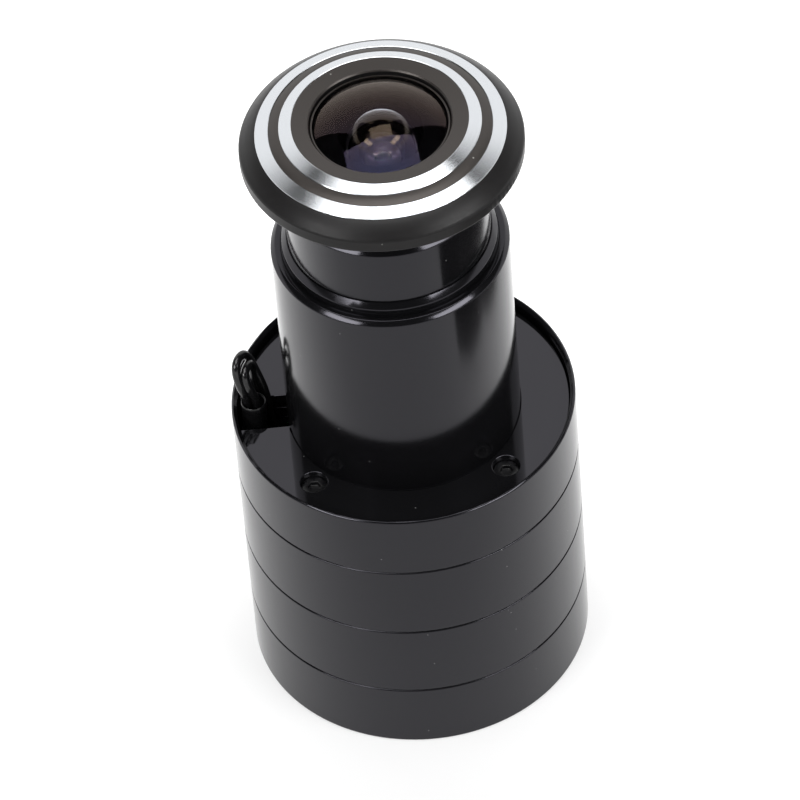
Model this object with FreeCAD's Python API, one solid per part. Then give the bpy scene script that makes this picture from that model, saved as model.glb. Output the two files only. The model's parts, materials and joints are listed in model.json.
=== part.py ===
import FreeCAD, Part

import math
import os

V = FreeCAD.Vector

# A door viewer with a camera behind a fisheye lens. Millimetres, +Z out through the door.
# The origin is the centre of the rear cap's flat face, on the turning axis.
# The bodies: the housing with its door tube, the keyed lens carriage that slides in the tube,
# and the screw head (bezel and neck) that turns round the lens and clamps the door.

# Driving dimensions: the housing
HOUSING_R = 19.0
WALL = 1.6
CAP_TOP = 8.67
SECTION = 9.9
RIM_TOP = 36.8
RIM_WALL = 0.6
RIM_CHAMFER = 0.2
PLATE_TOP = 35.3
PLATE_T = 2.0
LEDGE_T = 2.5
GROOVE_WIDTH = 0.3
GROOVE_DEPTH = 0.25
EDGE = 0.15

# Driving dimensions: the door tube, the neck and the bezel
TUBE_R = 12.9
TUBE_BORE_R = 11.75
TUBE_TOP = 61.75
TUBE_CHAMFER = 0.5
FLANGE_R = 14.0
FLANGE_T = 1.5
BUSH_TOP = 63.15
BUSH_COLLAR_R = 11.65
BUSH_BOTTOM = 52.0
NECK_R = 11.0
NECK_BORE_R = 9.9
NECK_BOTTOM = 42.5
NECK_TOP = 70.9
NECK_CHAMFER = 0.9
BEZEL_R = 15.2
BEZEL_BOTTOM = 74.95
LENS_OPENING_R = 7.58
RUNNING = 0.05

# Driving dimensions: the slot, the screws and the lead
SLOT_Y = 0.45
SLOT_WIDTH = 4.7
SCREW_CIRCLE_R = 14.9
SCREW_ANGLES = [45, 135, 225, 315]
SCREW_HEAD_R = 1.4
SCREW_R = 0.8
SCREW_SEAT_DEPTH = 1.5
SLEEVE_X = -16.5
SLEEVE_TOP = 37.3
SLEEVE_R = 1.42
SLEEVE_BORE_R = 1.2
WIRE_R = 0.48

# Driving dimensions: the camera module and the boards
CARRIAGE_R = 9.8
CARRIAGE_BORE_R = 8.3
KEY_WIDTH = 2.8
KEY_R = 12.2
BOARD_R = 16.5
BOARD_T = 1.2
MAIN_BOARD_Z = 22.0
POWER_BOARD_Z = 13.0
STANDOFF_CIRCLE_R = 14.2
STANDOFF_ANGLES = [30, 150, 270]
STANDOFF_R = 1.6
STUD_R = 0.75
STUD_HOLE_R = 0.8
M12_R = 6.0
LENS_HEAD_R = 7.5
FRONT_LENS_R = 7.25
DOME_RADIUS = 13.0
LENS_RIM_TOP = 78.8

# Worked-out levels
PLATE_BOTTOM = PLATE_TOP - PLATE_T
LEDGE_BOTTOM = PLATE_BOTTOM - LEDGE_T
RIM_BORE_R = HOUSING_R - RIM_WALL
SHELL_BORE_R = HOUSING_R - WALL
FLANGE_BOTTOM = PLATE_BOTTOM - FLANGE_T
SLOT_LOW_Y = SLOT_Y - SLOT_WIDTH / 2
SENSOR_BOARD_Z = 58.6
HOLDER_BASE_Z = SENSOR_BOARD_Z + BOARD_T


def turned(*corners):
    """A solid of revolution about Z from (radius, height) corners; a third value bulges the next edge."""
    edges = []
    for i, corner in enumerate(corners):
        start = V(corner[0], 0, corner[1])
        following = corners[(i + 1) % len(corners)]
        end = V(following[0], 0, following[1])
        bulge = corner[2] if len(corner) > 2 else 0
        if bulge:
            along = end - start
            sideways = V(along.z, 0, -along.x).normalize()
            middle = (start + end) * 0.5 + sideways * bulge
            edges.append(Part.Arc(start, middle, end).toShape())
        else:
            edges.append(Part.LineSegment(start, end).toShape())
    face = Part.Face(Part.Wire(edges))
    return face.revolve(V(0, 0, 0), V(0, 0, 1), 360)


def rod(radius, z0, z1, x=0, y=0):
    return Part.makeCylinder(radius, z1 - z0, V(x, y, z0))


def ring(outer_r, inner_r, z0, z1, x=0, y=0):
    return rod(outer_r, z0, z1, x, y).cut(rod(inner_r, z0, z1, x, y))


def block(x0, x1, y0, y1, z0, z1):
    return Part.makeBox(x1 - x0, y1 - y0, z1 - z0, V(x0, y0, z0))


def hexagon(radius, z0, z1, x=0, y=0):
    corners = [V(x + radius * math.cos(math.radians(a)), y + radius * math.sin(math.radians(a)), z0)
               for a in range(0, 361, 60)]
    return Part.Face(Part.makePolygon(corners)).extrude(V(0, 0, z1 - z0))


def around(circle_r, angles):
    """The places (x, y) on a circle at the given angles in degrees."""
    return [(circle_r * math.cos(math.radians(a)), circle_r * math.sin(math.radians(a))) for a in angles]


def group(solids):
    return Part.makeCompound(solids)


def groove(radius, z):
    """The V cut turned into an outside wall."""
    half = GROOVE_WIDTH / 2
    return turned((radius + 0.01, z - half), (radius + 0.01, z + half), (radius - GROOVE_DEPTH, z))


def wire_along(points, radius):
    """A round wire on straight runs joined by tangent arcs, the arcs as large as the runs allow."""
    points = [V(*p) for p in points]
    edges = []
    start = points[0]
    bends = []
    for before, corner, after in zip(points, points[1:], points[2:]):
        into = (corner - before).normalize()
        out = (after - corner).normalize()
        shorter = min((corner - before).Length, (after - corner).Length)
        reach = 0.45 * shorter
        half_turn = into.getAngle(out) / 2
        bend_r = reach / math.tan(half_turn)
        bends.append(bend_r)
        arc_start = corner - into * reach
        arc_end = corner + out * reach
        inward = (out - into).normalize()
        to_middle = bend_r / math.cos(half_turn) - bend_r
        edges.append(Part.LineSegment(start, arc_start).toShape())
        edges.append(Part.Arc(arc_start, corner + inward * to_middle, arc_end).toShape())
        start = arc_end
    edges.append(Part.LineSegment(start, points[-1]).toShape())
    path = Part.Wire(edges)
    first_run = (points[1] - points[0]).normalize()
    section = Part.Wire(Part.makeCircle(radius, points[0], first_run))
    wire = path.makePipeShell([section], True, False)
    expected = math.pi * radius ** 2 * path.Length
    print("wire %.1f mm long, volume ratio %.4f, bend radii %s" % (
        path.Length, wire.Volume / expected, ["%.1f" % r for r in bends]))
    return wire


def lead_slot(z0, z1):
    """The radial slot on the -X side that the lead comes out of."""
    cut = block(-HOUSING_R, -TUBE_R + 0.1, SLOT_LOW_Y, SLOT_LOW_Y + SLOT_WIDTH, z0, z1)
    return cut.common(rod(RIM_BORE_R, z0, z1))


# ---------------------------------------------------------------- housing

def rear_cap():
    spigot_top = CAP_TOP + 3.7
    spigot_r = SHELL_BORE_R - RUNNING
    cap = turned((0, 0), (HOUSING_R - EDGE, 0), (HOUSING_R, EDGE), (HOUSING_R, CAP_TOP - GROOVE_WIDTH / 2),
                 (HOUSING_R - GROOVE_DEPTH, CAP_TOP), (spigot_r, CAP_TOP), (spigot_r, spigot_top),
                 (spigot_r - 1.4, spigot_top), (spigot_r - 1.4, 1.8), (0, 1.8))
    seal_groove = ring(spigot_r + 0.1, SHELL_BORE_R - 1.0, 9.6, 10.6)
    socket_hole = rod(4.0, 0, 1.8)
    spanner_holes = [rod(0.9, 0, 1.0, x, y) for x, y in around(13.0, [0, 180])]
    return cap.cut([seal_groove, socket_hole] + spanner_holes)


def cap_seal():
    return Part.makeTorus(SHELL_BORE_R - 0.5, 0.5, V(0, 0, 10.1))


def housing_shell():
    shell = turned((HOUSING_R - GROOVE_DEPTH, CAP_TOP), (HOUSING_R, CAP_TOP + GROOVE_WIDTH / 2),
                   (HOUSING_R, RIM_TOP - RIM_CHAMFER), (HOUSING_R - RIM_CHAMFER, RIM_TOP),
                   (HOUSING_R - RIM_CHAMFER - 0.05, RIM_TOP), (RIM_BORE_R, RIM_TOP - 0.5),
                   (RIM_BORE_R, PLATE_BOTTOM), (FLANGE_R, PLATE_BOTTOM), (FLANGE_R, FLANGE_BOTTOM),
                   (TUBE_R - 0.3, FLANGE_BOTTOM), (TUBE_R - 0.3, LEDGE_BOTTOM),
                   (SHELL_BORE_R, LEDGE_BOTTOM), (SHELL_BORE_R, CAP_TOP))
    cuts = [groove(HOUSING_R, CAP_TOP + SECTION), groove(HOUSING_R, CAP_TOP + 2 * SECTION)]
    cuts.append(lead_slot(LEDGE_BOTTOM, PLATE_BOTTOM))
    cuts += [rod(SCREW_R, LEDGE_BOTTOM, PLATE_BOTTOM, x, y) for x, y in around(SCREW_CIRCLE_R, SCREW_ANGLES)]
    cuts += [rod(STUD_HOLE_R, LEDGE_BOTTOM, LEDGE_BOTTOM + 0.9, x, y)
             for x, y in around(STANDOFF_CIRCLE_R, STANDOFF_ANGLES)]
    return shell.cut(cuts)


def front_plate():
    plate = turned((TUBE_R, PLATE_BOTTOM), (RIM_BORE_R - RUNNING, PLATE_BOTTOM),
                   (RIM_BORE_R - RUNNING, PLATE_TOP - EDGE), (RIM_BORE_R - RUNNING - EDGE, PLATE_TOP),
                   (TUBE_R, PLATE_TOP))
    cuts = [lead_slot(PLATE_BOTTOM, PLATE_TOP)]
    for x, y in around(SCREW_CIRCLE_R, SCREW_ANGLES):
        cuts.append(rod(SCREW_R + RUNNING, PLATE_BOTTOM, PLATE_TOP, x, y))
        cuts.append(rod(SCREW_HEAD_R + 0.1, PLATE_TOP - SCREW_SEAT_DEPTH, PLATE_TOP, x, y))
    return plate.cut(cuts)


def plate_screws():
    screws = []
    seat = PLATE_TOP - SCREW_SEAT_DEPTH
    head_top = PLATE_TOP - 0.7
    for x, y in around(SCREW_CIRCLE_R, SCREW_ANGLES):
        head = rod(SCREW_HEAD_R, seat, head_top, x, y)
        shank = rod(SCREW_R, PLATE_TOP - 5.5, seat, x, y)
        recess = hexagon(0.75, head_top - 0.5, head_top, x, y)
        screws.append(head.fuse(shank).removeSplitter().cut(recess))
    return group(screws)


def door_tube():
    tube = turned((FLANGE_R - RUNNING, FLANGE_BOTTOM), (FLANGE_R - RUNNING, PLATE_BOTTOM),
                  (TUBE_R, PLATE_BOTTOM), (TUBE_R, TUBE_TOP - TUBE_CHAMFER),
                  (TUBE_R - TUBE_CHAMFER, TUBE_TOP), (TUBE_BORE_R, TUBE_TOP), (TUBE_BORE_R, FLANGE_BOTTOM))
    half_key = KEY_WIDTH / 2 + 0.1
    keyway = block(-KEY_R - 0.15, KEY_R + 0.15, -half_key, half_key, FLANGE_BOTTOM, BUSH_BOTTOM)
    return tube.cut([keyway, lead_slot(FLANGE_BOTTOM, PLATE_BOTTOM)])


def guide_bush():
    return turned((NECK_R + RUNNING, BUSH_BOTTOM), (TUBE_BORE_R, BUSH_BOTTOM), (TUBE_BORE_R, TUBE_TOP),
                  (BUSH_COLLAR_R, TUBE_TOP), (BUSH_COLLAR_R, BUSH_TOP - 0.62),
                  (BUSH_COLLAR_R - 0.52, BUSH_TOP), (NECK_R + RUNNING, BUSH_TOP))


# ---------------------------------------------------------------- lead

def lead_sleeve():
    return ring(SLEEVE_R, SLEEVE_BORE_R, 32.7, SLEEVE_TOP, SLEEVE_X, SLOT_Y)


def lead_wires():
    """Two wires that come up through the sleeve, loop over and go back in through the slot."""
    outer = [(-14.6, -0.3, 23.2), (-14.6, -0.3, 26.0), (-16.0, 0.2, 29.4), (-17.1, 0.45, 33.0),
             (-17.12, 0.45, 37.7), (-18.0, 0.9, 39.9), (-18.15, 1.9, 42.0), (-17.0, 3.7, 42.0),
             (-16.1, 3.4, 39.7), (-15.0, 2.3, 36.4), (-14.85, 2.2, 32.6), (-13.4, 2.1, 27.6),
             (-13.4, 2.1, 23.2)]
    inner = [(-13.0, -0.3, 23.2), (-13.0, -0.3, 26.0), (-14.7, 0.2, 29.4), (-16.1, 0.45, 33.0),
             (-16.08, 0.45, 37.5), (-17.0, 0.7, 39.3), (-17.25, 1.45, 41.0), (-16.4, 3.3, 40.9),
             (-16.2, 2.95, 38.3), (-15.95, 2.26, 35.8), (-15.9, 2.26, 32.0), (-14.9, 2.1, 27.6),
             (-14.9, 2.1, 23.2)]
    return group([wire_along(outer, WIRE_R), wire_along(inner, WIRE_R)])


# ---------------------------------------------------------------- boards

def board(z, stud_r):
    disc = rod(BOARD_R, z, z + BOARD_T)
    return disc.cut([rod(stud_r, z, z + BOARD_T, x, y)
                     for x, y in around(STANDOFF_CIRCLE_R, STANDOFF_ANGLES)])


def chip(x, y, width, depth, height, z):
    body = block(x - width / 2, x + width / 2, y - depth / 2, y + depth / 2, z, z + height)
    return body.makeChamfer(0.12, [e for e in body.Edges if e.BoundBox.ZMin > z + height - 0.01])


def standoffs(z0, z1):
    """Pillars with a threaded stud on top and a tapped hole below."""
    pillars = []
    for x, y in around(STANDOFF_CIRCLE_R, STANDOFF_ANGLES):
        stud_top = z1 + (0.8 if z1 == LEDGE_BOTTOM else 3.2)
        pillar = hexagon(STANDOFF_R, z0, z1, x, y).fuse(rod(STUD_R, z1, stud_top, x, y)).removeSplitter()
        pillars.append(pillar.cut(rod(STUD_HOLE_R, z0, z0 + 3.0, x, y)))
    return group(pillars)


def board_screws():
    screws = []
    for x, y in around(STANDOFF_CIRCLE_R, STANDOFF_ANGLES):
        head = rod(1.5, POWER_BOARD_Z - 0.8, POWER_BOARD_Z, x, y)
        shank = rod(STUD_R, POWER_BOARD_Z, POWER_BOARD_Z + 3.6, x, y)
        slot = hexagon(0.7, POWER_BOARD_Z - 0.8, POWER_BOARD_Z - 0.4, x, y)
        screws.append(head.fuse(shank).removeSplitter().cut(slot))
    return group(screws)


def board_capacitors():
    top = MAIN_BOARD_Z + BOARD_T
    return group([rod(2.0, top, top + 4.5, x, y) for x, y in [(8.0, -7.0), (3.6, -9.4), (-3.6, -9.4)]])


def power_inductor():
    top = POWER_BOARD_Z + BOARD_T
    core = rod(3.6, top, top + 1.0).fuse([rod(2.2, top + 1.0, top + 3.2), rod(3.6, top + 3.2, top + 4.2)])
    core = core.removeSplitter()
    core.translate(V(-6.0, 4.0, 0))
    return core


def link_header():
    """Six pins in a strip between the two boards."""
    top = POWER_BOARD_Z + BOARD_T
    strip = block(-1.2, 1.2, 7.0, 14.4, top, MAIN_BOARD_Z)
    pins = [rod(0.3, POWER_BOARD_Z + 0.1, MAIN_BOARD_Z + 1.1, 0, 8.1 + 1.05 * i) for i in range(6)]
    return strip.fuse(pins).removeSplitter()


def header_holes(z):
    return [rod(0.3, z, z + BOARD_T, 0, 8.1 + 1.05 * i) for i in range(6)]


def main_board():
    return board(MAIN_BOARD_Z, STUD_R + RUNNING).cut(header_holes(MAIN_BOARD_Z))


def power_board():
    return board(POWER_BOARD_Z, STUD_R + RUNNING).cut(header_holes(POWER_BOARD_Z))


def rear_socket():
    body = turned((0, 0.5), (4.0, 0.5), (4.0, 1.8), (5.0, 1.8), (5.0, 2.6), (3.9, 2.6), (3.9, 6.5), (0, 6.5))
    cuts = [ring(2.9, 2.2, 0.5, 3.4)]
    cuts += [rod(0.35, 0.5, 6.5, x, y) for x, y in around(1.3, SCREW_ANGLES)]
    return body.cut(cuts)


def socket_pins():
    return group([rod(0.35, 0.9, 7.4, x, y) for x, y in around(1.3, SCREW_ANGLES)])


def socket_lead():
    """Four short wires from the socket's pins to the underside of the power board."""
    wires = []
    for (x0, y0), (x1, y1) in zip(around(1.3, SCREW_ANGLES), around(3.6, SCREW_ANGLES)):
        points = [(x0, y0, 7.4), (x0, y0, 8.8), (x1, y1, 11.2), (x1, y1, POWER_BOARD_Z)]
        wires.append(wire_along(points, 0.4))
    return group(wires)


def flex_cable():
    """The folded flat cable between the main board and the sliding camera module."""
    z0 = MAIN_BOARD_Z + BOARD_T + 1.2
    z1 = SENSOR_BOARD_Z - 1.2
    folds = 12
    thickness = 0.25
    reach = 3.6
    step = (z1 - z0 - thickness) / folds
    line = [V(0, -3, z0)]
    line += [V(reach if i % 2 else -reach, -3, z0 + step * i) for i in range(1, folds)]
    line.append(V(0, -3, z1 - thickness))
    raised = V(0, 0, thickness)
    panels = [Part.Face(Part.makePolygon([a, b, b + raised, a + raised, a])).extrude(V(0, 6, 0))
              for a, b in zip(line, line[1:])]
    return panels[0].fuse(panels[1:]).removeSplitter()


# ---------------------------------------------------------------- camera module

def lens_carriage():
    """The keyed sleeve that carries the camera module and hangs in the neck by its circlip."""
    ledge = SENSOR_BOARD_Z - 1.2
    sleeve = turned((CARRIAGE_BORE_R, 40.2), (11.6, 40.2), (11.6, 42.3), (CARRIAGE_R, 42.3),
                    (CARRIAGE_R, 59.8), (9.1, 59.8), (9.1, 62.2), (8.75, 62.2), (8.75, 63.0), (9.1, 63.0),
                    (9.1, 63.6), (CARRIAGE_BORE_R, 63.6), (CARRIAGE_BORE_R, SENSOR_BOARD_Z),
                    (7.3, SENSOR_BOARD_Z), (7.3, ledge), (CARRIAGE_BORE_R, ledge))
    half_key = KEY_WIDTH / 2
    keys = block(-KEY_R, KEY_R, -half_key, half_key, 40.2, 42.3).cut(rod(11.0, 40.2, 42.3))
    return sleeve.fuse(keys).removeSplitter()


def carriage_circlip():
    clip = ring(CARRIAGE_R, 8.75, 62.25, 62.95)
    return clip.cut(block(0, CARRIAGE_R + 1, -1.2, 1.2, 62, 63.2))


def sensor_board():
    disc = rod(8.2, SENSOR_BOARD_Z, HOLDER_BASE_Z)
    return disc.cut([rod(0.6, SENSOR_BOARD_Z, HOLDER_BASE_Z, 0, y) for y in (-5.9, 5.9)])


def holder_screws():
    screws = []
    for y in (-5.9, 5.9):
        head = rod(1.1, SENSOR_BOARD_Z - 0.7, SENSOR_BOARD_Z, 0, y)
        shank = rod(0.5, SENSOR_BOARD_Z, SENSOR_BOARD_Z + 2.6, 0, y)
        slot = hexagon(0.5, SENSOR_BOARD_Z - 0.7, SENSOR_BOARD_Z - 0.35, 0, y)
        screws.append(head.fuse(shank).removeSplitter().cut(slot))
    return group(screws)


def lens_holder():
    holder = turned((5.2, HOLDER_BASE_Z), (8.2, HOLDER_BASE_Z), (8.2, HOLDER_BASE_Z + 1.8),
                    (7.0, HOLDER_BASE_Z + 1.8), (7.0, 68.5), (M12_R, 68.5), (M12_R, 62.4), (3.8, 62.4),
                    (3.8, 61.4), (5.2, 61.4))
    filter_seat = rod(4.5, 62.0, 62.4)
    holes = [rod(0.5, HOLDER_BASE_Z, HOLDER_BASE_Z + 1.4, 0, y) for y in (-5.9, 5.9)]
    return holder.cut([filter_seat] + holes)


def module_clamp_ring():
    clamp = ring(CARRIAGE_BORE_R, 7.1, HOLDER_BASE_Z + 1.8, 63.4)
    notches = [block(-0.6, 0.6, y - 0.8, y + 0.8, 62.8, 63.4) for y in (-7.8, 7.8)]
    return clamp.cut(notches)


def lens_barrel():
    head_z = 71.6
    barrel = turned((3.6, 63.2), (M12_R, 63.2), (M12_R, head_z), (LENS_HEAD_R, head_z),
                    (LENS_HEAD_R, 74.6), (6.7, 74.6), (6.7, 75.5), (LENS_HEAD_R, 75.5),
                    (LENS_HEAD_R, LENS_RIM_TOP - 0.05), (LENS_HEAD_R - 0.1, LENS_RIM_TOP + 0.05),
                    (FRONT_LENS_R, LENS_RIM_TOP + 0.05), (FRONT_LENS_R, 75.9), (5.0, 75.9), (5.0, 72.4),
                    (4.0, 72.4), (4.0, 64.2), (3.6, 64.2))
    return barrel


def lens_seal():
    return Part.makeTorus(LENS_OPENING_R - 0.02 - 0.43, 0.43, V(0, 0, 75.05))


def focus_lock_ring():
    lock = ring(7.3, M12_R, 69.0, 70.6)
    notches = [rod(0.55, 69.0, 70.6, x, y) for x, y in around(7.4, range(0, 360, 30))]
    return lock.cut(notches)


def dome_cap(radius, edge_r, edge_z):
    """The part of a ball of this radius that stands above a circle of edge_r at edge_z."""
    centre_z = edge_z - math.sqrt(radius ** 2 - edge_r ** 2)
    ball = Part.makeSphere(radius, V(0, 0, centre_z))
    return ball.common(rod(edge_r, edge_z, edge_z + radius))


def front_lens():
    bottom = 76.4
    body = rod(FRONT_LENS_R, bottom, LENS_RIM_TOP)
    glass = body.fuse(dome_cap(DOME_RADIUS, FRONT_LENS_R, LENS_RIM_TOP)).removeSplitter()
    return glass.cut(dome_cap(4.8, 4.3, bottom).fuse(rod(4.3, bottom - 0.5, bottom)))


def lens_spacer_ring():
    return ring(FRONT_LENS_R, 4.5, 75.9, 76.4)


def second_lens():
    body = rod(4.9, 72.4, 74.2)
    glass = body.fuse(dome_cap(6.2, 4.4, 74.2)).removeSplitter()
    return glass.cut(dome_cap(3.4, 2.8, 72.4))


def middle_lens():
    return rod(3.95, 69.0, 70.2).fuse(dome_cap(6.0, 3.5, 70.2)).removeSplitter()


def aperture_stop():
    return ring(3.95, 1.3, 68.6, 68.9)


def rear_lens():
    return rod(3.95, 64.3, 66.4).fuse(dome_cap(7.0, 3.5, 66.4)).removeSplitter()


# ---------------------------------------------------------------- screw head

def neck_barrel():
    return turned((NECK_BORE_R, NECK_BOTTOM), (NECK_R - 0.3, NECK_BOTTOM), (NECK_R, NECK_BOTTOM + 0.3),
                  (NECK_R, NECK_TOP - NECK_CHAMFER), (NECK_R - NECK_CHAMFER, NECK_TOP),
                  (NECK_BORE_R, NECK_TOP), (NECK_BORE_R, 62.0), (9.2, 62.0), (9.2, 60.0), (NECK_BORE_R, 60.0))


def bezel():
    stem_bottom = 64.0
    return turned((8.8, stem_bottom), (NECK_BORE_R, stem_bottom), (NECK_BORE_R, BEZEL_BOTTOM),
                  (BEZEL_R - 0.4, BEZEL_BOTTOM, 0.11), (BEZEL_R, BEZEL_BOTTOM + 0.4),
                  (BEZEL_R, 76.45, 0.03), (14.95, 76.8, 0.07), (13.4, 78.12),
                  (13.4, 77.6), (11.92, 78.1), (11.92, 78.6), (10.77, 78.98), (10.77, 78.45),
                  (9.44, 78.85), (9.44, 79.5), (LENS_OPENING_R + 0.15, 79.36), (LENS_OPENING_R, 79.2),
                  (LENS_OPENING_R, 71.2), (8.8, 71.2))


def outer_trim_ring():
    return turned((11.92, 78.1), (13.4, 77.6), (13.4, 78.09), (13.34, 78.17), (11.98, 78.66), (11.92, 78.62))


def inner_trim_ring():
    return turned((9.44, 78.85), (10.77, 78.45), (10.77, 79.06), (10.71, 79.12), (9.5, 79.53), (9.44, 79.5))


def parts():
    """Every sub-part by name."""
    main_top = MAIN_BOARD_Z + BOARD_T
    power_top = POWER_BOARD_Z + BOARD_T
    return {
        "rear_cap": rear_cap(),
        "cap_seal": cap_seal(),
        "housing_shell": housing_shell(),
        "front_plate": front_plate(),
        "plate_screws": plate_screws(),
        "door_tube": door_tube(),
        "guide_bush": guide_bush(),
        "lead_sleeve": lead_sleeve(),
        "lead_wires": lead_wires(),
        "main_board": main_board(),
        "processor_chip": chip(6.5, 2.0, 7.0, 7.0, 1.0, main_top),
        "memory_chip": chip(7.5, 9.0, 5.0, 4.0, 0.8, main_top),
        "clock_crystal": chip(12.4, 0.5, 1.6, 3.2, 0.7, main_top),
        "board_capacitors": board_capacitors(),
        "flex_connector": chip(0, 0, 3.0, 6.4, 1.2, main_top),
        "power_board": power_board(),
        "power_chip": chip(5.0, 2.0, 4.0, 5.0, 1.4, power_top),
        "power_inductor": power_inductor(),
        "link_header": link_header(),
        "upper_standoffs": standoffs(main_top, LEDGE_BOTTOM),
        "lower_standoffs": standoffs(power_top, MAIN_BOARD_Z),
        "board_screws": board_screws(),
        "rear_socket": rear_socket(),
        "socket_pins": socket_pins(),
        "socket_lead": socket_lead(),
        "flex_cable": flex_cable(),
        "lens_carriage": lens_carriage(),
        "carriage_circlip": carriage_circlip(),
        "flex_plug": chip(0, 0, 3.0, 6.4, 1.2, SENSOR_BOARD_Z - 1.2),
        "sensor_board": sensor_board(),
        "image_sensor": chip(0, 0, 6.4, 6.4, 1.0, HOLDER_BASE_Z),
        "holder_screws": holder_screws(),
        "lens_holder": lens_holder(),
        "module_clamp_ring": module_clamp_ring(),
        "infrared_filter": rod(4.5, 62.0, 62.4),
        "lens_barrel": lens_barrel(),
        "lens_seal": lens_seal(),
        "focus_lock_ring": focus_lock_ring(),
        "front_lens": front_lens(),
        "lens_spacer_ring": lens_spacer_ring(),
        "second_lens": second_lens(),
        "middle_lens": middle_lens(),
        "aperture_stop": aperture_stop(),
        "rear_lens": rear_lens(),
        "neck_barrel": neck_barrel(),
        "bezel": bezel(),
        "outer_trim_ring": outer_trim_ring(),
        "inner_trim_ring": inner_trim_ring(),
    }


os.makedirs("parts", exist_ok=True)
for name, shape in parts().items():
    if not shape.isValid():
        raise RuntimeError(name + " is not valid")
    shape.exportStep("parts/" + name + ".step")
    print("%-18s %2d solids %9.2f mm3" % (name, len(shape.Solids), shape.Volume))
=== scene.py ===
import json
import math

import bmesh
import bpy
from mathutils import Matrix, Vector


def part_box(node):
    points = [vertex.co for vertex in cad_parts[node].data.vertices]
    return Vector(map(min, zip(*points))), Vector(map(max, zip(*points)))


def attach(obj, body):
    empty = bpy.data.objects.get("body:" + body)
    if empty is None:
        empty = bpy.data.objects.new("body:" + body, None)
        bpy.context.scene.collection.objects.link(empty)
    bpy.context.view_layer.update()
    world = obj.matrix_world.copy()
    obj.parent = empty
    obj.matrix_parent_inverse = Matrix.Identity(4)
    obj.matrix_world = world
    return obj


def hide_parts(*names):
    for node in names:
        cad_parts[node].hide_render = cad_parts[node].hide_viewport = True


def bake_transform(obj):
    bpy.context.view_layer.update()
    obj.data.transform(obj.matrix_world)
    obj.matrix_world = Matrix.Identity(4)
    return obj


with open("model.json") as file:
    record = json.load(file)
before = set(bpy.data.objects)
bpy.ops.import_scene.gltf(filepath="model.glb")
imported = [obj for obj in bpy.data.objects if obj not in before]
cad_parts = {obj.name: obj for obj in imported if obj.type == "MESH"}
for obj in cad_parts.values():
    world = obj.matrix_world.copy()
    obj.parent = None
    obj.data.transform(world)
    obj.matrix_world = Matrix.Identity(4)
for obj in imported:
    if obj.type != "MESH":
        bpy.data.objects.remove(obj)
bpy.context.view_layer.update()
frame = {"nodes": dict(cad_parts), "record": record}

# A door viewer with a camera behind a fisheye lens, in metres. Sizes given here in millimetres
# are turned into metres where they are used. +Z runs out through the door.

NODES = frame["nodes"]
MM = 0.001
TURN_STEPS = 192


# ---------------------------------------------------------------- camera, lights and floor

VIEW_DISTANCE = 731.0
VIEW_ELEVATION = 47.2
VIEW_ROLL = 4.91
AIM = Vector((-0.4, 0.0, 35.9))


def viewing_camera():
    """A long lens that looks down on the door viewer, leaning a little to one side."""
    data = bpy.data.cameras.new("camera")
    data.lens = 298.3
    data.sensor_width = 36.0
    data.clip_start = 0.01
    data.clip_end = 20.0
    camera = bpy.data.objects.new("camera", data)
    bpy.context.scene.collection.objects.link(camera)
    tilt = Matrix.Rotation(math.radians(90.0 - VIEW_ELEVATION), 4, "X")
    roll = Matrix.Rotation(math.radians(-VIEW_ROLL), 4, "Z")
    back_off = Matrix.Translation((0.0, 0.0, VIEW_DISTANCE * MM))
    camera.matrix_world = Matrix.Translation(AIM * MM) @ tilt @ roll @ back_off
    bpy.context.scene.camera = camera


def from_object(azimuth, elevation):
    """The direction from the object; azimuth 0 is towards the front, and positive is to its right."""
    a, e = math.radians(azimuth), math.radians(elevation)
    return Vector((math.sin(a) * math.cos(e), -math.cos(a) * math.cos(e), math.sin(e)))


def soft_box(name, azimuth, elevation, distance, width, height, brightness, twist=0.0):
    """A soft light of this brightness that faces the object, twisted about its own middle.

    Angles are in degrees and lengths in metres.
    """
    data = bpy.data.lights.new(name, "AREA")
    data.shape = "RECTANGLE"
    data.size = width
    data.size_y = height
    data.energy = brightness * math.pi * width * height
    light = bpy.data.objects.new(name, data)
    bpy.context.scene.collection.objects.link(light)
    way = from_object(azimuth, elevation)
    light.matrix_world = (Matrix.Translation(AIM * MM + way * distance)
                          @ way.to_track_quat("Z", "Y").to_matrix().to_4x4()
                          @ Matrix.Rotation(math.radians(twist), 4, "Z"))
    light.visible_camera = False


def studio_world():
    """A tall white sweep straight behind the object, a low white band all round, a dark ceiling."""
    world = bpy.data.worlds.new("studio")
    bpy.context.scene.world = world
    world.use_nodes = True
    tree = world.node_tree
    direction = node(tree, "TexCoord").outputs["Generated"]
    parts = node(tree, "SeparateXYZ", {"Vector": direction})
    level = node(tree, "VectorMath", {0: direction, 1: (1.0, 1.0, 0.0)}, operation="MULTIPLY")
    heading = node(tree, "VectorMath", {0: level.outputs["Vector"]}, operation="NORMALIZE").outputs["Vector"]
    behind = node(tree, "SeparateXYZ", {"Vector": heading}).outputs["Y"]
    edge = node(tree, "MapRange", {"Value": behind, "From Min": 0.58, "From Max": 0.7,
                                   "To Min": 0.26, "To Max": 0.83}, interpolation_type="SMOOTHSTEP")
    above = node(tree, "Math", {0: parts.outputs["Z"], 1: edge.outputs["Result"]}, operation="SUBTRACT")
    glow = node(tree, "MapRange", {"Value": above.outputs["Value"], "From Min": -0.02, "From Max": 0.02,
                                   "To Min": 1.25, "To Max": 0.03}, interpolation_type="SMOOTHSTEP")
    tree.links.new(glow.outputs["Result"], tree.nodes["Background"].inputs["Strength"])
    tree.nodes["Background"].inputs["Color"].default_value = (1.0, 1.0, 1.0, 1.0)


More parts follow.
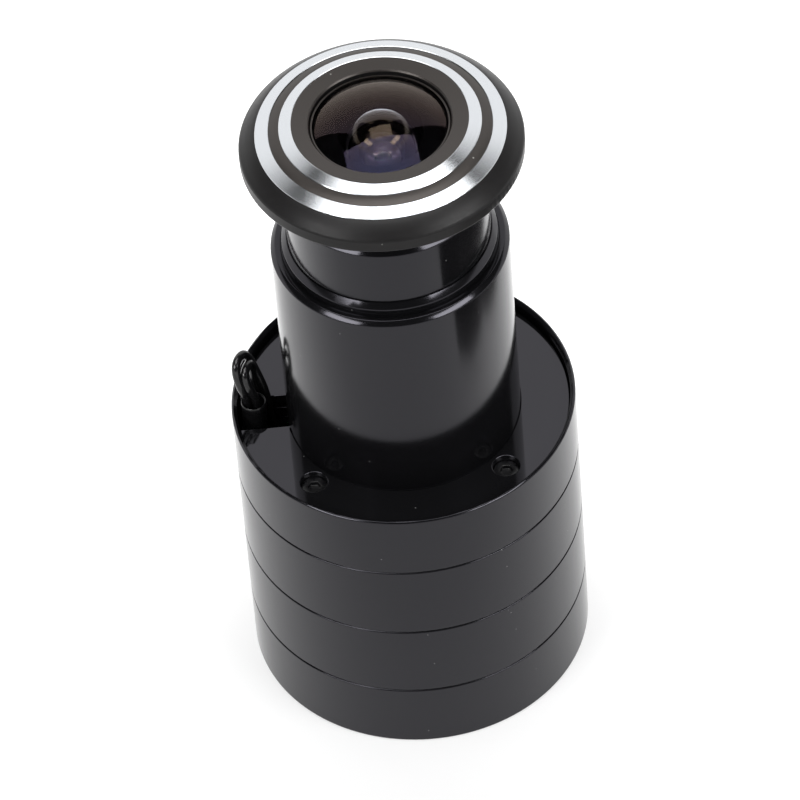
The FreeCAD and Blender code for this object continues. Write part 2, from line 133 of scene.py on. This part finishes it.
def floor():
    shape = bmesh.new()
    bmesh.ops.create_circle(shape, cap_ends=True, segments=96, radius=3.0)
    mesh = bpy.data.meshes.new("floor")
    shape.to_mesh(mesh)
    shape.free()
    ground = bpy.data.objects.new("floor", mesh)
    bpy.context.scene.collection.objects.link(ground)
    white, tree, shader = finish("floor_white", base=(0.45, 0.45, 0.45), rough=0.9, specular=0.0)
    shader.inputs["Emission Color"].default_value = (1.0, 1.0, 1.0, 1.0)
    # Painted light: the floor glows, dimmer towards the front, and dimmer again within 45 mm of the turning
    # axis, a painted contact shadow round the base
    back = node(tree, "SeparateXYZ", {"Vector": place(tree)}).outputs["Y"]
    glow = spread(tree, back, 0.31, 0.95, -40 * MM, 45 * MM)
    painted_contact_shade = spread(tree, from_axis(tree, place(tree)), 0.9, 1.0, 19 * MM, 45 * MM)
    painted_floor_glow = node(tree, "Math", {0: glow, 1: painted_contact_shade}, operation="MULTIPLY").outputs["Value"]
    tree.links.new(painted_floor_glow, shader.inputs["Emission Strength"])
    mesh.materials.append(white)


def reflected_shade_card():
    """A black sheet beside the object that only reflections see: painted shade in the reflections, a crisp
    dark streak down the right of the tube and neck.
    """
    shape = bmesh.new()
    corners = [(50, -38), (55, -25), (64, -7), (62, 24), (56, 45), (130, 70), (130, -80), (64, -52)]
    shape.faces.new([shape.verts.new((x * MM, y * MM, 0.5 * MM)) for x, y in corners])
    bmesh.ops.recalc_face_normals(shape, faces=shape.faces)
    mesh = bpy.data.meshes.new("reflected_shade_card")
    shape.to_mesh(mesh)
    shape.free()
    card = bpy.data.objects.new("reflected_shade_card", mesh)
    bpy.context.scene.collection.objects.link(card)
    mesh.materials.append(finish("reflected_shade_black", base=(0.01, 0.01, 0.01), rough=0.9, specular=0.0)[0])
    # Hidden from the camera, from diffuse light and from shadows, so it only paints shade into the glossy
    # reflections
    card.visible_camera = card.visible_diffuse = card.visible_shadow = card.visible_transmission = False


# ---------------------------------------------------------------- shader helpers

def node(tree, kind, inputs=None, **settings):
    """A shader node with its settings, and each input either set or joined to a socket."""
    made = tree.nodes.new("ShaderNode" + kind)
    for name, value in settings.items():
        setattr(made, name, value)
    for name, value in (inputs or {}).items():
        if isinstance(value, bpy.types.NodeSocket):
            tree.links.new(value, made.inputs[name])
        else:
            made.inputs[name].default_value = value
    return made


def finish(name, base, rough, metal=0.0, specular=0.5, **values):
    """A new material with the shader's plain values; further ones have _ for a space."""
    material = bpy.data.materials.new(name)
    material.use_nodes = True
    tree = material.node_tree
    shader = tree.nodes["Principled BSDF"]
    shader.inputs["Base Color"].default_value = (*base, 1.0)
    shader.inputs["Roughness"].default_value = rough
    shader.inputs["Metallic"].default_value = metal
    shader.inputs["Specular IOR Level"].default_value = specular
    for key, value in values.items():
        shader.inputs[key.replace("_", " ")].default_value = value
    return material, tree, shader


def place(tree):
    return node(tree, "TexCoord").outputs["Object"]


def from_axis(tree, where):
    """The distance from the turning axis."""
    flat = node(tree, "VectorMath", {0: where, 1: (1.0, 1.0, 0.0)}, operation="MULTIPLY")
    return node(tree, "VectorMath", {0: flat.outputs["Vector"]}, operation="LENGTH").outputs["Value"]


def tool_lines(tree, where, pitch):
    """The fine lines that a turning tool leaves, the same all the way round the axis."""
    height = node(tree, "SeparateXYZ", {"Vector": where}).outputs["Z"]
    along = node(tree, "Math", {0: from_axis(tree, where), 1: height}, operation="ADD").outputs["Value"]
    return node(tree, "TexNoise", {"W": along, "Scale": 1.0 / (pitch * MM), "Detail": 3.0,
                                   "Roughness": 0.6}, noise_dimensions="1D").outputs["Fac"]


def grain(tree, where, size, detail=4.0):
    return node(tree, "TexNoise", {"Vector": where, "Scale": 1.0 / (size * MM), "Detail": detail,
                                   "Roughness": 0.6}).outputs["Fac"]


def spread(tree, value, low, high, start=0.3, end=0.7):
    """A value between start and end, spread from low to high."""
    return node(tree, "MapRange", {"Value": value, "From Min": start, "From Max": end,
                                   "To Min": low, "To Max": high}).outputs["Result"]


def relief(tree, shader, height, depth, strength=1.0):
    bump = node(tree, "Bump", {"Height": height, "Distance": depth * MM, "Strength": strength})
    tree.links.new(bump.outputs["Normal"], shader.inputs["Normal"])


def dust(tree, shader, where, colour, spacing=2.4, speck=0.028):
    """A few pale specks on a dark surface."""
    cells = node(tree, "TexVoronoi", {"Vector": where, "Scale": 1.0 / (spacing * MM)})
    there = node(tree, "Math", {0: cells.outputs["Distance"], 1: speck}, operation="LESS_THAN")
    mixed = node(tree, "Mix", {"Factor": there.outputs["Value"]}, data_type="RGBA")
    mixed.inputs["A"].default_value = shader.inputs["Base Color"].default_value
    mixed.inputs["B"].default_value = (*colour, 1.0)
    tree.links.new(mixed.outputs["Result"], shader.inputs["Base Color"])


# ---------------------------------------------------------------- finishes

def turned_black():
    """Gloss black anodised aluminium, with the faint lines of the lathe under it."""
    material, tree, shader = finish("turned_black_anodise", base=(0.004, 0.004, 0.0045), rough=0.13,
                                    specular=0.37, Specular_Tint=(0.9, 0.88, 1.0, 1.0))
    where = place(tree)
    lines = tool_lines(tree, where, 0.12)
    tree.links.new(spread(tree, grain(tree, where, 6.0), 0.11, 0.15), shader.inputs["Roughness"])
    relief(tree, shader, lines, 0.0002)
    dust(tree, shader, where, (0.16, 0.16, 0.16))
    return material


def polished_black():
    """The polished face plate: deep gloss black with a hint of waviness."""
    material, tree, shader = finish("polished_black_plate", base=(0.0045, 0.0045, 0.005), rough=0.05,
                                    Specular_Tint=(0.9, 0.88, 1.0, 1.0))
    where = place(tree)
    tree.links.new(spread(tree, grain(tree, where, 4.0), 0.04, 0.07), shader.inputs["Roughness"])
    relief(tree, shader, grain(tree, where, 5.0, 1.0), 0.002)
    dust(tree, shader, where, (0.16, 0.16, 0.16))
    return material


def satin_black(name, base, rough, specular, tint):
    """A fine satin coat."""
    material, tree, shader = finish(name, base=base, rough=rough, specular=specular,
                                    Specular_Tint=(*tint, 1.0))
    where = place(tree)
    uneven = spread(tree, grain(tree, where, 0.5), rough * 0.9, rough * 1.1)
    tree.links.new(uneven, shader.inputs["Roughness"])
    relief(tree, shader, grain(tree, where, 0.09), 0.001)
    dust(tree, shader, where, (0.3, 0.3, 0.28), 3.0)
    return material


def blackened(name, specular):
    """The dead black of the parts inside the lens."""
    material, tree, shader = finish(name, base=(0.003, 0.003, 0.003), rough=0.55, specular=specular)
    where = place(tree)
    tree.links.new(spread(tree, grain(tree, where, 0.3), 0.5, 0.62), shader.inputs["Roughness"])
    relief(tree, shader, grain(tree, where, 0.12), 0.0005)
    return material


def bright_ring():
    """Bright aluminium with the rings of the diamond cutter."""
    material, tree, shader = finish("bright_cut_aluminium", base=(0.62, 0.64, 0.665), rough=0.2, metal=1.0,
                                    Anisotropic=0.8, Anisotropic_Rotation=0.25)
    tangent = node(tree, "Tangent", direction_type="RADIAL", axis="Z")
    tree.links.new(tangent.outputs["Tangent"], shader.inputs["Tangent"])
    where = place(tree)
    lines = tool_lines(tree, where, 0.05)
    tree.links.new(spread(tree, lines, 0.17, 0.24), shader.inputs["Roughness"])
    relief(tree, shader, lines, 0.0006)
    return material


def fine_grained(name, base, rough, size):
    """A moulded, painted or blackened surface with a grain of this size in millimetres."""
    material, tree, shader = finish(name, base=base, rough=rough)
    where = place(tree)
    uneven = spread(tree, grain(tree, where, size), rough * 0.8, rough * 1.2)
    tree.links.new(uneven, shader.inputs["Roughness"])
    relief(tree, shader, grain(tree, where, size * 0.4), 0.003)
    return material


def plain_metal(name, base, rough, pitch):
    """A plain turned or pressed metal."""
    material, tree, shader = finish(name, base=base, rough=rough, metal=1.0)
    where = place(tree)
    lines = tool_lines(tree, where, pitch)
    tree.links.new(spread(tree, lines, rough * 0.75, rough * 1.25), shader.inputs["Roughness"])
    relief(tree, shader, lines, 0.001)
    return material


def board_green():
    """Green solder mask over copper tracks."""
    material, tree, shader = finish("green_solder_mask", base=(0.01, 0.11, 0.045), rough=0.3)
    where = place(tree)
    tracks = node(tree, "TexBrick", {"Vector": where, "Scale": 500.0, "Color1": (0.01, 0.12, 0.05, 1.0),
                                     "Color2": (0.008, 0.095, 0.04, 1.0), "Mortar": (0.03, 0.2, 0.08, 1.0),
                                     "Mortar Size": 0.03})
    tree.links.new(tracks.outputs["Color"], shader.inputs["Base Color"])
    relief(tree, shader, tracks.outputs["Fac"], 0.01)
    return material


def coated_glass(name, tint, film):
    """Optical glass with a coating that is film nanometres thick."""
    material, tree, shader = finish(name, base=tint, rough=0.0, Transmission_Weight=1.0, IOR=1.58,
                                    Thin_Film_Thickness=film, Thin_Film_IOR=1.38)
    melt = node(tree, "Mix", {"Factor": grain(tree, place(tree), 1.5)}, data_type="RGBA")
    melt.inputs["A"].default_value = (*tint, 1.0)
    melt.inputs["B"].default_value = (*(0.98 * part for part in tint), 1.0)
    tree.links.new(melt.outputs["Result"], shader.inputs["Base Color"])
    return material


# ---------------------------------------------------------------- mesh helpers

def solid(name, shape, body, material, replaced, sharp=30.0, paint=None):
    """Finishes a turned or swept shape as a piece that rides on a body and stands for CAD nodes."""
    bmesh.ops.remove_doubles(shape, verts=shape.verts, dist=0.0005 * MM)
    bmesh.ops.recalc_face_normals(shape, faces=shape.faces)
    for face in shape.faces:
        face.smooth = True
    for edge in shape.edges:
        edge.smooth = len(edge.link_faces) == 2 and edge.calc_face_angle() < math.radians(sharp)
    mesh = bpy.data.meshes.new(name)
    shape.to_mesh(mesh)
    shape.free()
    mesh.materials.append(material)
    if paint:
        mesh.materials.append(paint)
    piece = bpy.data.objects.new(name, mesh)
    bpy.context.scene.collection.objects.link(piece)
    if body:
        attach(piece, body)
    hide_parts(*replaced)
    return piece


def frame_body(name):
    """The body that a CAD node belongs to."""
    bodies = frame["record"]["behaviour"]["bodies"]
    return next(body for body, members in bodies.items() if name in members)


def room_beside(edge):
    """The width beside an edge, taken from the edges that leave its ends at a wide angle."""
    along = (edge.verts[1].co - edge.verts[0].co).normalized()
    widths = []
    for end in edge.verts:
        for other in end.link_edges:
            way = other.other_vert(end).co - end.co
            if abs(way.normalized().dot(along)) < 0.5:
                widths.append(way.length)
    return min(widths, default=0.0)


# Corners of the CAD mesh this close together are one corner, in millimetres
SAME_CORNER = 0.002
# An edge is rounded from this angle up, in degrees, where it has this many roundings' room
ROUNDED_FROM = 20.0
ROUNDING_ROOM = 2.2


def eased(name, material, width, paint=None, painted=None, merge=SAME_CORNER, clamp=False,
          whole_flats=False):
    """A copy of a CAD node with its sharp edges rounded over by this width in millimetres.

    Corners closer together than merge become one, which turns a hair-thin flat into an edge, and
    clamp keeps the rounding of neighbouring edges apart. The triangles of the walls are joined
    up first, and those of the level faces too with whole_flats.
    A second finish may go on the faces for which painted(middle, normal) is true.
    """
    shape = bmesh.new()
    shape.from_mesh(NODES[name].data)
    bmesh.ops.remove_doubles(shape, verts=shape.verts, dist=merge * MM)
    joined = [edge for edge in shape.edges
              if whole_flats or all(abs(face.normal.z) < 0.999 for face in edge.link_faces)]
    bmesh.ops.dissolve_limit(shape, angle_limit=math.radians(0.2), verts=[], edges=joined)
    rounded = [edge for edge in shape.edges
               if len(edge.link_faces) == 2
               and edge.calc_face_angle() > math.radians(ROUNDED_FROM)
               and room_beside(edge) > ROUNDING_ROOM * width * MM]
    bmesh.ops.bevel(shape, geom=rounded, offset=width * MM, offset_type="OFFSET", segments=3,
                    profile=0.5, affect="EDGES", clamp_overlap=clamp, material=-1)
    bmesh.ops.recalc_face_normals(shape, faces=shape.faces)
    if paint:
        for face in shape.faces:
            face.material_index = int(painted(face.calc_center_median() / MM, face.normal))
    piece = solid("eased_" + name, shape, frame_body(name), material, [name], sharp=42.0,
                  paint=paint)
    flat = piece.modifiers.new("flat_faces_stay_flat", "WEIGHTED_NORMAL")
    flat.mode = "FACE_AREA"
    flat.weight = 100
    flat.keep_sharp = True
    return piece


def turned(corners, steps=TURN_STEPS, x=0.0, y=0.0):
    """A shape turned about an upright axis from (radius, height) corners in millimetres."""
    shape = bmesh.new()
    ring = [shape.verts.new((x * MM + r * MM, y * MM, z * MM)) for r, z in corners]
    outline = [shape.edges.new(ends) for ends in zip(ring, ring[1:] + ring[:1])]
    bmesh.ops.spin(shape, geom=ring + outline, cent=(x * MM, y * MM, 0.0), axis=(0.0, 0.0, 1.0),
                   angle=math.tau, steps=steps, use_merge=True)
    return shape


def ball_curve(radius, edge_r, edge_z, count=24):
    """Points on a ball of this radius, from a circle of edge_r at edge_z up to the axis."""
    centre_z = edge_z - math.sqrt(radius ** 2 - edge_r ** 2)
    widest = math.asin(edge_r / radius)
    angles = [widest * (1.0 - i / count) for i in range(count + 1)]
    return [(radius * math.sin(a), centre_z + radius * math.cos(a)) for a in angles]


# ---------------------------------------------------------------- lead

WIRE_R = 0.48
SLEEVE_WALL = 0.22
OUTER_WIRE = [(-14.6, -0.3, 23.2), (-14.6, -0.3, 26.0), (-16.0, 0.2, 29.4), (-17.1, 0.45, 33.0),
              (-17.12, 0.45, 37.7), (-18.0, 0.9, 39.9), (-18.15, 1.9, 42.0), (-17.0, 3.7, 42.0),
              (-16.1, 3.4, 39.7), (-15.0, 2.3, 36.4), (-14.85, 2.2, 32.6), (-13.4, 2.1, 27.6),
              (-13.4, 2.1, 23.2)]
INNER_WIRE = [(-13.0, -0.3, 23.2), (-13.0, -0.3, 26.0), (-14.7, 0.2, 29.4), (-16.1, 0.45, 33.0),
              (-16.08, 0.45, 37.5), (-17.0, 0.7, 39.3), (-17.25, 1.45, 41.0), (-16.4, 3.3, 40.9),
              (-16.2, 2.95, 38.3), (-15.95, 2.26, 35.8), (-15.9, 2.26, 32.0), (-14.9, 2.1, 27.6),
              (-14.9, 2.1, 23.2)]


def lead_wire(name, route, material):
    """One wire of the lead, a smooth curve through the sleeve, over in a loop and back in at the slot."""
    data = bpy.data.curves.new(name, "CURVE")
    data.dimensions = "3D"
    data.bevel_depth = WIRE_R * MM
    data.bevel_resolution = 6
    data.resolution_u = 10
    data.use_fill_caps = True
    line = data.splines.new("NURBS")
    line.points.add(len(route) - 1)
    for point, (x, y, z) in zip(line.points, route):
        point.co = (x * MM, y * MM, z * MM, 1.0)
    line.order_u = 3
    line.use_endpoint_u = True
    data.materials.append(material)
    wire = bpy.data.objects.new(name, data)
    bpy.context.scene.collection.objects.link(wire)
    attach(wire, "root")
    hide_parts("lead_wires")


def shrunk_sleeve():
    """The heat-shrunk sleeve that the lead comes out of, with a rounded lip and a slight waist."""
    low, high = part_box("lead_sleeve")
    x, y = (low.x + high.x) / 2 / MM, (low.y + high.y) / 2 / MM
    outer_r, bottom, top = (high.x - low.x) / 2 / MM, low.z / MM, high.z / MM
    inner_r = outer_r - SLEEVE_WALL
    corners = [(inner_r, bottom), (outer_r - 0.05, bottom), (outer_r - 0.03, bottom + 2.4),
               (outer_r - 0.05, top - 1.3), (outer_r - 0.01, top - 0.5), (outer_r, top - 0.22),
               (outer_r - 0.03, top - 0.07), (outer_r - 0.1, top), (inner_r + 0.04, top - 0.05),
               (inner_r, top - 0.14)]
    material, tree, shader = finish("shrunk_tube_black", base=(0.005, 0.005, 0.0055), rough=0.3)
    where = place(tree)
    tree.links.new(spread(tree, grain(tree, where, 0.6), 0.24, 0.36), shader.inputs["Roughness"])
    relief(tree, shader, grain(tree, where, 0.9, 2.0), 0.06)
    solid("shrunk_sleeve", turned(corners, 64, x, y), frame_body("lead_sleeve"), material,
          ["lead_sleeve"], sharp=50.0)


# ---------------------------------------------------------------- lenses

# Radius and edge of the front ball surface, then of the hollow in the back where there is one
LENSES = {
    "front_lens": (13.0, 7.25, 4.8, 4.3),
    "second_lens": (6.2, 4.4, 3.4, 2.8),
    "middle_lens": (6.0, 3.5, None, None),
    "rear_lens": (7.0, 3.5, None, None),
}


# How far a lens stays inside its CAD solid, at its edge and at its back
EDGE_PLAY = 0.02
BACK_PLAY = 0.01


def lens(name, material, paint):
    """A glass element that fills its place in the barrel, its ground edge painted black."""
    low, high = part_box(name)
    ball_r, ball_edge, hollow_r, hollow_edge = LENSES[name]
    edge_r = high.x / MM - EDGE_PLAY
    bottom, top = low.z / MM + BACK_PLAY, high.z / MM
    shoulder = top - ball_r + math.sqrt(ball_r ** 2 - ball_edge ** 2)
    corners = [(edge_r, bottom), (edge_r, shoulder)]
    corners += ball_curve(ball_r, min(ball_edge, edge_r), shoulder)
    if hollow_r:
        corners += ball_curve(hollow_r, hollow_edge, bottom)[::-1]
    else:
        corners.append((0.0, bottom))
    shape = turned(corners)
    bmesh.ops.recalc_face_normals(shape, faces=shape.faces)
    for face in shape.faces:
        out = face.calc_center_median().xy.length / MM
        on_edge = abs(face.normal.z) < 0.01
        round_hollow = out > (hollow_r or edge_r) and face.normal.z < -0.99
        face.material_index = int(on_edge or round_hollow)
    solid(name.replace("lens", "glass"), shape, frame_body(name), material, [name],
          paint=paint)


# ---------------------------------------------------------------- flat cable

def folded_cable(material):
    """The camera module's flat cable, folded back and forth between its two connectors."""
    low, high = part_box("flex_cable")
    folds, steps, thickness = 12, 16, 0.2
    reach = 3.4
    count = folds * steps
    rise = (high.z - low.z) / count
    shape = bmesh.new()
    ends = [shape.verts.new((0.0, y, low.z)) for y in (low.y, high.y)]
    strip = [shape.edges.new(ends)]
    last_x = 0.0
    for i in range(1, count + 1):
        made = bmesh.ops.extrude_edge_only(shape, edges=strip)["geom"]
        moved = [v for v in made if isinstance(v, bmesh.types.BMVert)]
        x = reach * MM * math.sin(math.pi * i / steps)
        bmesh.ops.translate(shape, verts=moved, vec=(x - last_x, 0.0, rise))
        strip = [e for e in made if isinstance(e, bmesh.types.BMEdge)]
        last_x = x
    bmesh.ops.solidify(shape, geom=shape.faces, thickness=thickness * MM)
    cable = solid("folded_flat_cable", shape, None, material, ["flex_cable"])
    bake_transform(cable)


# ---------------------------------------------------------------- putting it together

def dress(material, *names):
    """Gives CAD nodes a finish."""
    for name in names:
        slots = NODES[name].material_slots
        for index in range(len(slots)):
            slots[index].material = material


viewing_camera()
wire_black = fine_grained("gloss_wire_cover", (0.006, 0.006, 0.0065), 0.16, 2.0)
lead_wire("outer_lead_wire", OUTER_WIRE, wire_black)
lead_wire("inner_lead_wire", INNER_WIRE, wire_black)

studio_world()
floor()
reflected_shade_card()
soft_box("overhead_box", 0.0, 82.7, 0.7, 0.84, 0.5, 4.0, 9.0)
soft_box("left_box", -50.0, 36.0, 1.0, 0.46, 0.24, 11.0)
soft_box("right_box", 53.0, 36.0, 1.0, 0.56, 0.24, 11.0)

edge_paint = blackened("edge_paint", 0.0)
front_coat = coated_glass("front_coated_glass", (0.7, 0.71, 0.78), 105.0)
inner_coat = coated_glass("inner_coated_glass", (0.9, 0.92, 1.0), 95.0)
lens("front_lens", front_coat, edge_paint)
for inner_lens in ("second_lens", "middle_lens", "rear_lens"):
    lens(inner_lens, inner_coat, edge_paint)

amber = fine_grained("amber_film", (0.42, 0.19, 0.03), 0.3, 3.0)
folded_cable(amber)

# The rounding of the turned edges, a little more than the rim's level width, and how far out on
# the bezel the band coat goes, in millimetres
TURNED_EDGE = 0.08
RIM_FLAT = 0.06
BAND_COAT_R = 13.38

black_body = turned_black()
# The bezel's sideways flank gets a darker, less reflective copy of its satin coat: painted shade that keeps
# the lamps' highlights off it
flank_shade_coat = satin_black("bezel_flank_coat", (0.0085, 0.008, 0.0082), 0.36, 0.18, (1.0, 1.0, 1.0))
band_coat = satin_black("bezel_band_coat", (0.015, 0.013, 0.012), 0.34, 0.5, (1.0, 0.92, 0.87))
bright = bright_ring()
steel = plain_metal("plain_steel", (0.6, 0.6, 0.61), 0.28, 0.15)
black_steel = fine_grained("black_oxide_steel", (0.003, 0.003, 0.0035), 0.3, 0.6)
brass = plain_metal("plated_brass", (0.75, 0.56, 0.28), 0.25, 0.15)
alloy = plain_metal("machined_alloy", (0.55, 0.56, 0.58), 0.32, 0.2)
rubber = fine_grained("black_rubber", (0.012, 0.012, 0.012), 0.5, 0.5)
moulded = fine_grained("moulded_black", (0.02, 0.02, 0.021), 0.42, 0.4)
white_moulded = fine_grained("moulded_ivory", (0.75, 0.72, 0.64), 0.4, 0.6)
can = plain_metal("drawn_can", (0.72, 0.72, 0.74), 0.22, 0.3)
ferrite = fine_grained("sintered_ferrite", (0.03, 0.03, 0.034), 0.6, 0.3)
mask = board_green()

for turned_part in ("rear_cap", "door_tube", "guide_bush", "neck_barrel"):
    eased(turned_part, black_body, TURNED_EDGE)
eased("housing_shell", black_body, TURNED_EDGE, merge=RIM_FLAT)
eased("front_plate", polished_black(), 0.1, whole_flats=True)
# Up-facing faces inside BAND_COAT_R get the band coat, and the rest get the flank's darker copy, painted
# shade
eased("bezel", flank_shade_coat, 0.04, band_coat,
      lambda middle, normal: normal.z > 0.5 and middle.xy.length < BAND_COAT_R,
      clamp=True, whole_flats=True)
dress(band_coat, "lens_barrel", "focus_lock_ring")
dress(blackened("lens_blackening", 0.12), "lens_spacer_ring", "aperture_stop")
dress(bright, "outer_trim_ring", "inner_trim_ring")
eased("plate_screws", black_steel, 0.06)
shrunk_sleeve()
dress(rubber, "cap_seal", "lens_seal")
dress(mask, "main_board", "power_board", "sensor_board")
dress(moulded, "processor_chip", "memory_chip", "power_chip", "link_header", "rear_socket", "lens_holder")
dress(white_moulded, "flex_connector", "flex_plug")
dress(steel, "clock_crystal", "board_screws", "carriage_circlip", "holder_screws")
dress(can, "board_capacitors")
dress(ferrite, "power_inductor")
dress(brass, "upper_standoffs", "lower_standoffs", "socket_pins")
dress(alloy, "lens_carriage", "module_clamp_ring")
dress(wire_black, "socket_lead")
dress(coated_glass("filter_glass", (0.75, 0.88, 0.95), 120.0), "infrared_filter")
dress(fine_grained("sensor_glass", (0.02, 0.035, 0.03), 0.06, 0.5), "image_sensor")

bpy.context.scene.view_settings.view_transform = "Standard"
